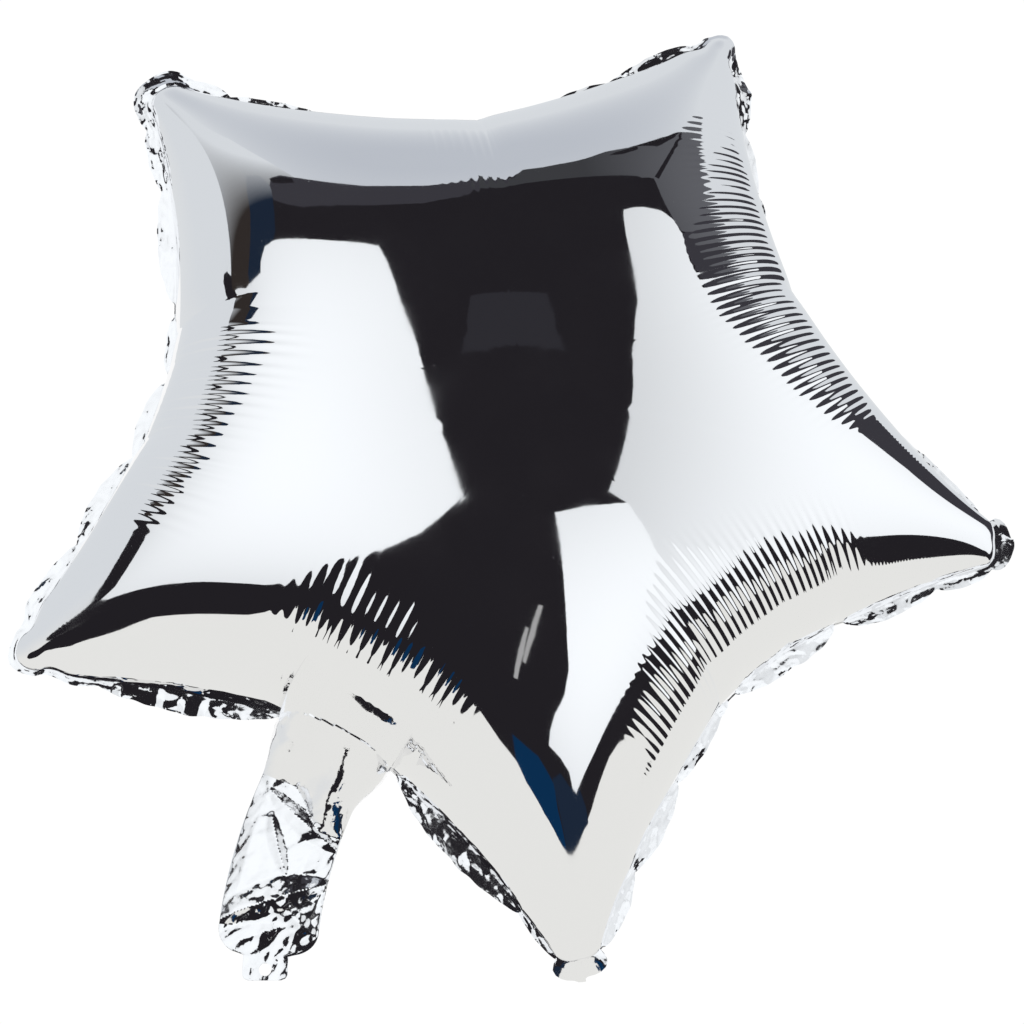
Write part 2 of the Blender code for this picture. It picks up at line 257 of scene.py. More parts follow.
# The dark ceiling's top edge fades out round this direction, between these degrees from it
FADE_MIDDLE = (-4.5, 145.7)
FADE_DEGREES = (76.6, 64.8)
GREY_CEILING_LEFT = (
    (-37, 69.2), (-39.5, 65), (-38.8, 62), (-33, 62.2), (-27, 62.5), (-18, 64.3), (-8, 64.8),
    (0, 65.2), (5, 67.5), (8, 72), (7, 76.5), (4, 74.5), (0, 73), (-10, 72.6), (-28, 72.6),
    (-33, 71.5),
)
GREY_CEILING_RIGHT = (
    (6, 71), (8.5, 79), (12, 79), (18, 80.5), (22, 83), (30, 83.5), (38, 82), (44, 83.5),
    (50, 85), (57, 85.5), (63, 84.5), (66, 80), (65, 72), (63, 62), (50, 59), (44, 60),
    (41, 64.5), (38, 71),
)
DARK_SPOTS = (
    ((38.3, 71.6), (39.8, 71), (50.3, 83.6), (48.8, 84.6)),
    ((23.5, 81), (24.5, 82), (30.5, 83.5), (31, 82), (27, 80.8)),
    ((-38, 68.5), (-37, 67.5), (-33, 68.6), (-28.5, 70.2), (-29, 71.8), (-32, 71.3), (-36, 69.6)),
)
DARK_FLOOR = (
    (-60, 14), (-62.6, 8), (-57, -3), (-52.5, -11), (-51, -20), (-49.5, -29), (-45, -36.5),
    (-41, -38), (-40.8, -34), (-40, -31.6), (-34.8, -32.6), (-28, -34), (-20, -33),
    (-13.2, -30), (-10.9, -34.6), (-7.5, -36.9), (-7, -40.3), (-3, -43.1), (3.9, -44.6),
    (10.7, -44.6), (20.9, -43.1), (32.3, -40.5), (38, -38.4), (41.4, -35.7), (45.4, -31.8),
    (45, -12), (20, 30), (-40, 30),
)
DARK_SIDE = (
    (44, -8), (60, -10), (84, -14), (100, -3), (106, 2), (106, -14), (98, -34), (88, -45),
    (84, -48), (79.6, -46.5), (77, -43.4), (73.5, -38), (69, -33), (63, -31.5), (55, -31),
    (48.8, -30.6), (45.4, -31.8), (41.4, -35.7),
)
DARK_BEAM = (
    (43, 57), (48, 60.5), (60, 61.5), (75, 61), (88, 60), (96, 62), (102, 65.5), (109, 67.5),
    (113, 66), (118, 66), (128, 64), (138, 52), (140, 28), (136, 10), (130, -5), (112, -7),
    (104, -6), (100, 10), (98, 30), (94, 38), (80, 40), (55, 42),
)
DARK_EDGE = (
    (-50, 30), (-50, 10), (-58, 0), (-62.5, 8), (-69.2, 20), (-73.8, 29.4), (-76.5, 35.8),
    (-78.5, 40), (-78, 43), (-75, 44), (-71.2, 43), (-66, 42), (-55, 44),
)
BLUE_DOOR = (
    (-7.5, -37), (-7, -40.3), (-3, -43.1), (3.9, -44.6), (10, -44.6), (8, -40), (9, -36),
    (4, -32), (-4, -30.5),
)
NAVY_CURTAIN = (
    (-59, 40), (-57.8, 46.4), (-55, 51.3), (-53, 55.4), (-52, 60), (-49, 65), (-42, 68),
    (-38.5, 66), (-39.1, 61.6), (-40, 55), (-44, 49), (-50, 42),
)
BROWN_CURTAIN = (
    (-71, 38), (-71, 44), (-70, 49), (-68, 54), (-64, 60), (-57, 65), (-50, 66), (-52, 60),
    (-53, 55.4), (-55, 51.3), (-57.8, 46.4), (-59, 40),
)
NAVY_WALL = (
    (8.5, -35), (14, -33), (20, -35), (27, -35), (33, -38), (36, -40), (32.3, -40.5),
    (20.9, -43.1), (10.5, -44.6), (9, -40),
)
FAINT_WINDOW = ((9, 42), (15.6, 42), (16.2, 36), (9.5, 36))
BRIGHT_SLITS = (
    ((4.6, -15), (5.6, -15), (9.4, -8), (12, -1.5), (11.4, -1.2), (8.6, -7)),
    ((8.6, -10), (9.2, -10.4), (13, -3), (15.4, 4), (14.6, 4.2), (12.2, -2)),
)
# Softboxes: middle of the light, strength there, degrees from it and share of the strength there
SOFTBOXES = (
    ("left_softbox", LEFT_SOFTBOX, (-22, 24), 1.11, 45, 0.72),
    ("right_softbox", RIGHT_SOFTBOX, (80, 18), 1.11, 62, 0.60),
    ("low_softbox", LOW_SOFTBOX, (32, -6), 1.10, 30, 0.83),
)
# Metres from the star to each layer of cards: the nearer ones cover the farther ones
SOFTBOX_LAYER, SPOT_LAYER, SLIT_LAYER, CURTAIN_LAYER = 20, 28, 30, 31
DOOR_LAYER, BEAM_LAYER, ROOM_LAYER = 32, 44, 56
BACK_SHARE = 0.34  # how much narrower the same studio is behind the star
STUDIO_GAIN = 1.10  # makes up for the light that the film takes
WHITE = (1.0, 1.0, 1.0, 1.0)
CLOTH_TINT = (0.955, 0.985, 1.01, 1.0)  # the softboxes' faintly cool white

# Surroundings: the white that the camera sees, and the heights, as shares of straight up, between
# which the reflected light turns from the table's to the walls' and from theirs to the ceiling's
VIEW_WHITE = 1.02
TABLE_TO_WALLS, WALLS_TO_CEILING = (-0.35, 0.30), (0.80, 0.99)

# Patches of handling haze on every film: millimetres from one to the next, the noise at their
# edges, and the roughness outside and inside them as shares of the film's
HAZE_MM, HAZE_EDGES, HAZE_SHARES = 22.2, (0.40, 0.75), (0.7, 1.7)
# Specks of dust: millimetres from one to the next, their edges, and the roughness that they add
DUST_MM, DUST_EDGES, DUST_ROUGHNESS = 7.0, (0.020, 0.035), 0.15
MIX_A, MIX_B, MIX_RESULT = 6, 7, 2  # a Mix node's two colour inputs and its colour output


class BalloonSizes(bpy.types.PropertyGroup):
    """Sizes of the film's crimps and crumples."""

    crimp_depth: bpy.props.FloatProperty(
        name="Crimp depth", description="Height of a crimp from its trough to its crest",
        default=0.00030, min=0.0, unit="LENGTH",
    )
    crimp_reach: bpy.props.FloatProperty(
        name="Crimp reach", description="How far the crimps run in from the seam at a notch",
        default=0.066, min=0.0, unit="LENGTH",
    )
    flange_crumple: bpy.props.FloatProperty(
        name="Flange crumple", description="How far the flange's facets stand out of its leaves",
        default=0.00040, min=0.0, unit="LENGTH",
    )
    neck_crumple: bpy.props.FloatProperty(
        name="Neck crumple", description="How far the neck's facets stand out of its plane",
        default=0.0009, min=0.0, unit="LENGTH",
    )
    floor_drop: bpy.props.FloatProperty(
        name="Floor drop", description="Depth of the floor below the star's centre",
        default=1.2, min=0.5, unit="LENGTH",
    )


class BalloonColours(bpy.types.PropertyGroup):
    """Colours of the film and of the studio, as sRGB hex values."""

    film: bpy.props.StringProperty(
        name="Film", description="Tint of the metallised film", default="#F4F4F5",
    )
    ceiling: bpy.props.StringProperty(
        name="Upper surroundings", description="Cool light from above", default="#B9BEC6",
    )
    walls: bpy.props.StringProperty(
        name="Side surroundings", description="Pale light from the sides", default="#D4D8DC",
    )
    table: bpy.props.StringProperty(
        name="Lower surroundings", description="Warm light from below", default="#E4E4E1",
    )
    room: bpy.props.StringProperty(
        name="Dark room", description="Unlit part of the studio", default="#211F23",
    )
    beams: bpy.props.StringProperty(
        name="Grey ceiling", description="Faintly lit part of the studio", default="#38373D",
    )
    back_room: bpy.props.StringProperty(
        name="Back room", description="Darker part of the studio behind", default="#6C6E73",
    )
    lit_beams: bpy.props.StringProperty(
        name="Lit ceiling", description="Ceiling near the right light", default="#5E5F64",
    )
    door: bpy.props.StringProperty(
        name="Blue door", description="Blue part of the studio", default="#0B2D4E",
    )
    navy: bpy.props.StringProperty(
        name="Navy wall", description="Dark blue part of the studio", default="#1C2738",
    )
    curtain: bpy.props.StringProperty(
        name="Brown curtain", description="Brown part of the studio", default="#2F2A28",
    )
    floor: bpy.props.StringProperty(
        name="Floor", description="Plain floor below the balloon", default="#E9E9E7",
    )


def linear(code):
    """Linear colour with full alpha from an sRGB hex value."""
    parts = [int(code[place:place + 2], 16) / 255 for place in (1, 3, 5)]
    return [p / 12.92 if p <= 0.04045 else ((p + 0.055) / 1.055) ** 2.4 for p in parts] + [1.0]


def sizes():
    """The sizes that the sidebar shows."""
    return bpy.context.scene.balloon_sizes


def colours():
    """The colours that the sidebar shows."""
    return bpy.context.scene.balloon_colours


def smooth(share):
    """An even curve from 0 to 1, as the share runs from 0 to 1."""
    share = np.clip(share, 0, 1)
    return share * share * (3 - 2 * share)


def ramp(value, start, end):
    """An even curve from 0 where the value is at the start, to 1 where it is at the end."""
    return smooth((value - start) / (end - start))


# Shape of the star


def seam_half(share):
    """Points and outward normals on half an arm's seam, from the tip at 0 to the notch at 1."""
    share = np.asarray(share, float)[:, None]
    middle = np.array((0.0, SEAM_TIP_R - TIP_ROUND_R))
    turn = np.clip(share / TIP_SHARE, 0, 1) * TIP_TURN
    arc_normals = np.hstack((np.sin(turn), np.cos(turn)))
    start = middle + TIP_ROUND_R * np.array((math.sin(TIP_TURN), math.cos(TIP_TURN)))
    handle = start + SIDE_PULL * np.array((math.cos(TIP_TURN), -math.sin(TIP_TURN)))
    notch = SEAM_NOTCH_R * np.array((math.sin(HALF_ARM), math.cos(HALF_ARM)))
    rest = np.clip((share - TIP_SHARE) / (1 - TIP_SHARE), 0, 1)
    side = start * (1 - rest) ** 2 + 2 * handle * rest * (1 - rest) + notch * rest**2
    ahead = 2 * (1 - rest) * (handle - start) + 2 * rest * (notch - handle)
    normals = np.hstack((-ahead[:, 1:], ahead[:, :1]))
    normals /= np.linalg.norm(normals, axis=1, keepdims=True)
    round_tip = share < TIP_SHARE
    points = np.where(round_tip, middle + TIP_ROUND_R * arc_normals, side)
    return points, np.where(round_tip, arc_normals, normals)


def membrane_waves():
    """Weights of five-armed waves that bring a pressed membrane to zero height along the seam."""
    points, _ = seam_half(np.linspace(0, 1, 201))
    radius = np.hypot(*points.T) / SEAM_TIP_R
    angle = np.arctan2(*points.T)
    order = ARMS * np.arange(WAVES + 1)
    waves = radius[:, None] ** order * np.cos(order * angle[:, None])
    return np.linalg.lstsq(waves, radius**2 / 4, rcond=None)[0]


MEMBRANE = membrane_waves()


def membrane_level(plan):
    """Height of the pressed membrane at points (x, z), as a share of its height at the centre."""
    radius = np.linalg.norm(plan, axis=-1) / SEAM_TIP_R
    angle = np.arctan2(plan[..., 0], plan[..., 1])
    waves = sum(
        weight * radius ** (ARMS * wave) * np.cos(ARMS * wave * angle)
        for wave, weight in enumerate(MEMBRANE)
    )
    return (waves - radius**2 / 4) / MEMBRANE[0]


def film_height(level):
    """How far a panel stands out where the pressed membrane has this level."""
    return BELLY * np.sqrt(1 - (1 - np.clip(level, 0, 1)) ** FULLNESS)


def flat_star():
    """Size and area of one panel's film as it was cut flat, from its lengths over the bulge."""
    angle = np.linspace(0, HALF_ARM, 73)
    points, _ = seam_half(np.linspace(0, 1, 401))
    seam = np.interp(angle, np.arctan2(*points.T), np.hypot(*points.T))
    out = seam[:, None] * np.linspace(0, 1, 401)
    way = np.stack((np.sin(angle), np.cos(angle)), axis=-1)
    height = film_height(membrane_level(out[..., None] * way[:, None]))
    radius = np.hypot(np.diff(out), np.diff(height)).sum(axis=1)
    width = 2 * radius[0] * math.sin(2 * HALF_ARM)
    length = radius[0] * (1 + math.cos(HALF_ARM))
    return (width, length), math.pi * (radius**2).mean()


def seam_steps(near_pitch, far_pitch, near_reach):
    """Shares of half an arm's seam, from the notch to the tip, and distances from the notch."""
    fine = np.linspace(1, 0, 4001)
    points, _ = seam_half(fine)
    run = np.concatenate(([0], np.cumsum(np.linalg.norm(np.diff(points, axis=0), axis=1))))
    blend = np.clip((run - near_reach) / (0.3 * near_reach), 0, 1)
    pitch = near_pitch + (far_pitch - near_pitch) * blend
    count = np.concatenate(([0], np.cumsum(np.diff(run) / pitch[1:])))
    steps = np.linspace(0, count[-1], int(round(count[-1])) + 1)
    return np.interp(steps, count, fine), np.interp(steps, count, run)


def turned(points, arm, side):
    """Points (x, z) of half an arm, turned to their place in the star."""
    turn = 2 * HALF_ARM * arm
    across, along = side * points[:, 0], points[:, 1]
    return np.stack(
        (
            across * math.cos(turn) + along * math.sin(turn),
            along * math.cos(turn) - across * math.sin(turn),
        ),
        axis=1,
    )


def seam_columns(near_pitch, far_pitch, near_reach):
    """The whole seam, clockwise from the notch before the top arm, as columns of one table each:
    place (x, z), outward normal, foot on the arm's middle line, rim where puffs and folds have
    moved the film, arm, notch, distance from the notch and from the tip, share of the way round
    the star, and the crimps' phase."""
    shares, runs = seam_steps(near_pitch, far_pitch, near_reach)
    half = runs[-1]
    points, normals = seam_half(shares)
    foot = (SEAM_TIP_R - TIP_ROUND_R) * (1 - ((half - runs) / half) ** FOOT_BEND)
    feet = np.stack((np.zeros(len(foot)), foot), axis=1)
    table = {key: [] for key in ("place", "normal", "foot", "puff", "arm", "notch", "run")}
    for arm in range(ARMS):
        for side in (-1, 1):
            pick = slice(0, -1) if side < 0 else slice(len(shares), 0, -1)
            share = shares[pick]
            fade = np.clip(share / TIP_SHARE, 0, 1) * np.clip((1 - share) / PUFF_FADE, 0, 1)
            table["place"].append(turned(points[pick], arm, side))
            table["normal"].append(turned(normals[pick], arm, side))
            table["foot"].append(turned(feet[pick], arm, side))
            table["puff"].append(ARM_PUFFS[arm][max(side, 0)] * smooth(fade))
            table["arm"].append(np.full(len(share), arm))
            table["notch"].append(np.full(len(share), (arm - 1) % ARMS if side < 0 else arm))
            table["run"].append(-side * runs[pick])
    columns = {key: np.concatenate(parts) for key, parts in table.items()}
    columns["from_tip"] = half - np.abs(columns["run"])
    point, shoulder = np.array(TIP_SHAPES)[columns["arm"]].T
    beside = (columns["from_tip"] - SHOULDER_PLACE) / SHOULDER_REACH
    columns["puff"] += point * np.exp(-((columns["from_tip"] / POINT_REACH) ** 2))
    columns["puff"] -= shoulder * np.exp(-(beside**2))
    for notch, run, _, _, depth in FRONT_FOLDS:
        pinch = FOLD_PINCH * depth * np.exp(-np.abs(columns["run"] - run) / FOLD_PINCH_REACH)
        columns["puff"] -= np.where(columns["notch"] == notch, pinch, 0)
    columns["rim"] = columns["place"] + columns["normal"] * columns["puff"][:, None]
    step = np.linalg.norm(np.roll(columns["place"], -1, axis=0) - columns["place"], axis=1)
    columns["round"] = np.concatenate(([0], np.cumsum(step)[:-1])) / step.sum()
    turns = np.cumsum(step / np.array(CRIMP_PITCHES)[columns["notch"]])
    columns["phase"] = math.tau * turns * round(turns[-1]) / turns[-1]
    return columns


# Crimps, folds and crumples


def ripple(share, seed, counts):
    """A smooth uneven line between about -1 and 1, from these numbers of waves round the star."""
    phases = np.random.default_rng(seed).uniform(0, math.tau, len(counts))
    waves = [np.sin(math.tau * share * count + phase) for count, phase in zip(counts, phases)]
    return sum(waves) / math.sqrt(len(counts))


def crimps(columns, depth, seed, folds):
    """How far the film stands out or in, by column and distance in from the rim."""
    run, share_round = columns["run"][:, None], columns["round"][:, None]
    spans = np.array(CRIMP_SPANS)[columns["notch"], (columns["run"] > 0).astype(int)]
    from_deep, from_faint = abs(run) / spans[:, :1], abs(run) / spans[:, 1:]
    reach = sizes().crimp_reach * (1 - CRIMP_NARROWING * np.clip(from_faint, 0, 1))
    swell = ramp(depth, *CRIMP_START) * ramp(np.clip(depth / reach, 0, 1), 1, 0.35)
    phase = columns["phase"][:, None] + 0.7 * ripple(share_round, seed, (29, 43, 71))
    waves = FAINT_SHARE * ramp(from_faint, 1, 0.75) * ramp(depth, *FAINT_END) * np.sin(2 * phase)
    waves += ramp(from_deep, 1.1, 0.8) * np.sin(phase)
    uneven = 0.9 + 0.25 * ripple(share_round, seed + 1, (59, 117, 223))
    strength = sizes().crimp_depth / 2 * np.array(CRIMP_SHARES)[columns["notch"]][:, None]
    rise = strength * swell * uneven * waves
    for notch, rim_run, inner_run, fold_reach, fold_depth in folds:
        along = depth / fold_reach
        off = np.abs(run - rim_run - (inner_run - rim_run) * along)
        inside = (columns["notch"] == notch)[:, None] & (along <= 1)
        groove = FOLD_LINE[0] * np.exp(-off / FOLD_LINE[1])
        groove += FOLD_SLOPES[0] * np.exp(-((off / FOLD_SLOPES[1]) ** 2))
        groove *= fold_depth * ramp(depth, 0, 0.008) * ramp(along, 1, 0.6)
        rise -= np.where(inside, groove, 0)
    return rise


def creased(across, along, seed, pitch):
    """Crumpled height between -1 and 1: flat facets between the random corners of a net."""
    pick = np.random.default_rng(seed)
    low = np.array((across.min(), along.min())) - pitch
    count = ((np.array((across.max(), along.max())) - low) / pitch).astype(int) + 3
    net = np.stack(np.meshgrid(np.arange(count[0]), np.arange(count[1])), axis=-1).reshape(-1, 2)
    corners = low + (net + pick.uniform(-0.38, 0.38, net.shape)) * pitch
    heights = pick.uniform(-1, 1, len(corners))
    found, _, faces, origin, _, _ = delaunay_2d_cdt([Vector(c) for c in corners], [], [], 0, 1e-9)
    corners = np.array([tuple(corner) for corner in found])
    heights = np.array([heights[first[0]] for first in origin])
    points = np.stack(np.broadcast_arrays(across, along), axis=-1).reshape(-1, 2)
    order = np.argsort(points[:, 1])
    points = points[order]
    rise = np.zeros(len(points))
    for face in faces:
        a, b, c = corners[list(face)]
        first, last = np.searchsorted(points[:, 1], (min(a[1], b[1], c[1]), max(a[1], b[1], c[1])))
        near = points[first:last] - a
        size = (b[0] - a[0]) * (c[1] - a[1]) - (c[0] - a[0]) * (b[1] - a[1])
        to_b = (near[:, 0] * (c[1] - a[1]) - (c[0] - a[0]) * near[:, 1]) / size
        to_c = ((b[0] - a[0]) * near[:, 1] - near[:, 0] * (b[1] - a[1])) / size
        inside = (to_b >= -1e-9) & (to_c >= -1e-9) & (to_b + to_c <= 1 + 1e-9)
        values = heights[list(face)] @ np.stack((1 - to_b - to_c, to_b, to_c))
        rise[first:last] = np.where(inside, values, rise[first:last])
    back = np.empty(len(points))
    back[order] = rise
    return back.reshape(np.broadcast(across, along).shape)


def grid_faces(columns, rows):
    """Quads between neighbouring columns and rows of points, the columns closing into a ring."""
    first = np.arange(columns)[:, None] * rows + np.arange(rows - 1)
    after = np.roll(np.arange(columns), -1)[:, None] * rows + np.arange(rows - 1)
    return np.stack((first, first + 1, after + 1, after), axis=-1).reshape(-1, 4)


def film_object(name, points, faces, material):
    """A smooth mesh object from arrays of points and faces."""
    mesh = bpy.data.meshes.new(name)
    mesh.from_pydata([tuple(point) for point in points], [], [tuple(face) for face in faces])
    mesh.validate()
    mesh.polygons.foreach_set("use_smooth", [True] * len(mesh.polygons))
    mesh.materials.append(material)
    piece = bpy.data.objects.new(name, mesh)
    bpy.context.scene.collection.objects.link(piece)
    return piece


def make_active(piece):
    """Selects one object alone, for the operators that work on the active one."""
    bpy.ops.object.select_all(action="DESELECT")
    bpy.context.view_layer.objects.active = piece
    piece.select_set(True)


def merge_doubles(piece):
    """Joins points that lie on each other, as where two halves of an arm meet."""
    make_active(piece)
    bpy.ops.object.mode_set(mode="EDIT")
    bpy.ops.mesh.select_all(action="SELECT")
    bpy.ops.mesh.remove_doubles(threshold=1e-6)
    bpy.ops.object.mode_set(mode="OBJECT")


def panel_points(columns, rows, facing, seed, folds):
    """Points of one crimped panel, by column and by row from its rim to the arms' middle lines.
    Facing is -1 for the front and 1 for the back."""
    inward = (1 - np.cos(math.pi / 2 * np.arange(rows) / (rows - 1)))[None, :, None]
    place, foot = columns["place"][:, None], columns["foot"][:, None]
    plan = place + (foot - place) * inward
    level = membrane_level(plan)
    level = np.clip(level - level[:, :1] * (1 - inward[..., 0]) ** 4, 0, 1)
    height = film_height(level)
    height[:, 0] = 0
    plan = plan + (columns["rim"] - columns["place"])[:, None] * (1 - inward) ** 3
    depth = np.linalg.norm(plan - plan[:, :1], axis=-1)
    points = np.stack((plan[..., 0], facing * height, plan[..., 1]), axis=-1)
    round_it = np.roll(points, -1, axis=0) - np.roll(points, 1, axis=0)
    normal = np.cross(round_it, np.gradient(points, axis=1))
    normal /= np.maximum(np.linalg.norm(normal, axis=-1, keepdims=True), 1e-12)
    normal *= np.sign(normal[..., 1].mean()) * facing
    return points + normal * crimps(columns, depth, seed, folds)[..., None]


class BALLOON_OT_panels(bpy.types.Operator):
    """Inflated front and back panels, crimped along their seam"""

    bl_idname = "balloon.panels"
    bl_label = "Panels"

    ROWS = 37
    PITCHES = (0.00047, 0.00080, 0.084)  # columns near a notch, near a tip, and the first's reach

    def execute(self, context):
        columns, material = seam_columns(*self.PITCHES), panel_film()
        flat, area = flat_star()
        for name, facing, seed, folds in (
            ("front_panel", -1, 3, FRONT_FOLDS), ("back_panel", 1, 8, BACK_FOLDS),
        ):
            points = panel_points(columns, self.ROWS, facing, seed, folds)
            faces = grid_faces(len(points), self.ROWS)[:, ::facing]
            film = name.replace("panel", "film")
            panel = film_object(film, points.reshape(-1, 3), faces, material)
            merge_doubles(panel)
            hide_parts(name)
            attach(panel, "envelope")
        return {"FINISHED"}


class BALLOON_OT_flange(bpy.types.Operator):
    """Flange of the two films welded together, in crumpled leaves between the folds"""

    bl_idname = "balloon.flange"
    bl_label = "Flange"

    ROWS = 14
    PITCHES = (0.00065, 0.00060, 0.080)  # columns near a notch, near a tip, and the first's reach
    INSET = 0.0012  # how far it reaches in under the seam
    THICKNESS = 0.00012
    # Crumples, coarse to fine: seed, share of the height, stretch along the seam, facet size
    CRUMPLES = ((23, 1, 2.8, 0.0075), (24, 0.30, 2.8, 0.0034), (25, 0.12, 1.8, 0.0018))
    CREASE_ANGLE = 16

    def execute(self, context):
        columns = seam_columns(*self.PITCHES)
        width, loose, way = self.leaves(columns)
        lean = np.radians(self.leans(columns, width))[:, None]
        out = np.linspace(0, 1, self.ROWS)[None, :]
        length = ARMS * 2 * np.abs(columns["run"]).max()
        along = (columns["round"] * length)[:, None]
        ragged = 1 + 0.04 * ripple(columns["round"][:, None], 21, (47, 89, 131)) * out
        reach = -self.INSET + (width[:, None] * ragged + self.INSET) * out
        skewed = along + 0.5 * reach
        folded = sum(
            share * creased(stretch * reach, skewed, seed, facet)
            for seed, share, stretch, facet in self.CRUMPLES
        )
        edge = ramp(reach, 0, 0.002) * ramp(width[:, None], 0, 0.003)
        rise = sizes().flange_crumple * loose[:, None] * edge * folded
        flat = reach * np.cos(lean) - rise * np.sin(lean)
        points = np.stack(
            (
                columns["rim"][:, :1] + way[:, :1] * flat,
                np.maximum(reach, 0) * np.sin(lean) + rise * np.cos(lean),
                columns["rim"][:, 1:] + way[:, 1:] * flat,
            ),
            axis=-1,
        )
        faces = grid_faces(len(points), self.ROWS)[:, ::-1]
        flange = film_object("welded_flange", points.reshape(-1, 3), faces, flange_film())
        give_thickness(flange, self.THICKNESS)
        crisp(flange, self.CREASE_ANGLE)
        borders = [f"border_{name}" for name in NOTCH_NAMES]
        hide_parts(*borders, *(f"corner_{name}" for name in ARM_NAMES))
        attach(flange, "envelope")
        return {"FINISHED"}

    def leaves(self, columns):
        """Width, crumple and outward direction of the flange at each column."""
        width = np.full(len(columns["run"]), LEAST_FLANGE)
        loose, way = np.zeros(len(width)), columns["normal"].copy()
        for notch, start, end, widest, crumple in LEAVES:
            share = (columns["run"] - start) / (end - start)
            inside = (columns["notch"] == notch) & (share > 0) & (share < 1)
            leaf = widest * np.sin(math.pi * np.clip(share, 0, 1)) ** 0.5
            wider = inside & (leaf > width)
            width = np.where(wider, leaf, width)
            loose = np.where(wider, crumple, loose)
        for arm, (reach, widest, _, crumple, straight) in enumerate(CORNERS):
            share = columns["from_tip"] / reach
            inside = (columns["arm"] == arm) & (share < 1)
            leaf = widest * np.clip(1 - share**3, 0, 1) ** 0.5
            width = np.where(inside & (leaf > width), leaf, width)
            near = np.where(inside, ramp(share, 1, 0.5), 0)
            loose += (crumple - loose) * near
            axis = np.array((math.sin(2 * HALF_ARM * arm), math.cos(2 * HALF_ARM * arm)))
            across = np.array((axis[1], -axis[0]))
            pinch = CORNER_PINCH * np.sign(columns["run"])[:, None] * across
            way += (axis + pinch - way) * (straight * near)[:, None]
        return width, loose, way / np.linalg.norm(way, axis=1, keepdims=True)

    def leans(self, columns, width):
        """How far the flange leans towards the back at each column, in degrees."""
        lean = np.zeros(len(width))
        for notch, knots in enumerate(LEANS):
            runs, degrees = np.array(knots).T
            at_notch = np.interp(columns["run"] * 1000, runs, degrees)
            lean = np.where(columns["notch"] == notch, at_notch, lean)
        for arm, (reach, _, corner_lean, _, _) in enumerate(CORNERS):
            near = ramp(columns["from_tip"] / reach, 1, 0.5) * (columns["arm"] == arm)
            lean += (corner_lean - lean) * near
        return LEAST_LEAN + (lean - LEAST_LEAN) * ramp(width, LEAST_FLANGE, 0.0025)


def give_thickness(piece, thickness):
    """Thickens a film evenly to both sides of its surface."""
    make_active(piece)
    wall = piece.modifiers.new("wall", "SOLIDIFY")
    wall.thickness = thickness
    wall.offset = 0
    bpy.ops.object.modifier_apply(modifier=wall.name)


def crisp(piece, degrees):
    """Keeps the creases sharp: smooth shading only across edges that bend less than this."""
    make_active(piece)
    bpy.ops.object.shade_smooth_by_angle(angle=math.radians(degrees))


def on_neck(across, down):
    """Points of the neck as (x, z), from across its curved centre line and down along it."""
    bend = (NECK_LEAN_TAB - NECK_LEAN_ROOT) / TAB_END
    lean = NECK_LEAN_ROOT + bend * down
    x = NECK_ROOT_X + (math.cos(NECK_LEAN_ROOT) - np.cos(lean)) / bend
    z = NECK_ROOT_Z - (np.sin(lean) - math.sin(NECK_LEAN_ROOT)) / bend
    return x + across * np.cos(lean), z + across * np.sin(lean)


def neck_half_width(down):
    """Half the neck's width: spreading at its root, straight, then round shoulders into the tab."""
    root = ramp(down, NECK_FLARE, 0) * (NECK_ROOT_HALF_WIDTH - NECK_HALF_WIDTH)
    turn = np.clip((down - NECK_SHOULDER) / (NECK_END - NECK_SHOULDER), 0, 1)
    shoulder = TAB_HALF_WIDTH + (NECK_HALF_WIDTH - TAB_HALF_WIDTH) * np.sqrt(1 - turn**2)
    end = np.clip((down - TAB_END + TAB_CORNER_R) / TAB_CORNER_R, 0, 1)
    return shoulder + root - TAB_CORNER_R * (1 - np.sqrt(1 - end**2))


def neck_folds(across, down):
    """Height of the neck's long folds: crests along straight lines, each with two flat slopes."""
    rise = np.zeros(np.broadcast(across, down).shape)
    for side_1, down_1, side_2, down_2, above, below, height in NECK_FOLDS:
        start = np.array((side_1 * NECK_HALF_WIDTH, down_1))
        way = np.array((side_2 * NECK_HALF_WIDTH, down_2)) - start
        length = np.linalg.norm(way)
        way /= length
        if way[0] < 0:
            raise ValueError("a neck fold runs from left to right")
        along = ((across - start[0]) * way[0] + (down - start[1]) * way[1]) / length
        off = (down - start[1]) * way[0] - (across - start[0]) * way[1]
        slope = np.where(off < 0, 1 + off / above, 1 - off / below)
        taper = np.sin(math.pi * np.clip(along, 0, 1)) ** 0.6
        rise -= height * np.clip(slope - (1 - taper), 0, 1)
    return rise


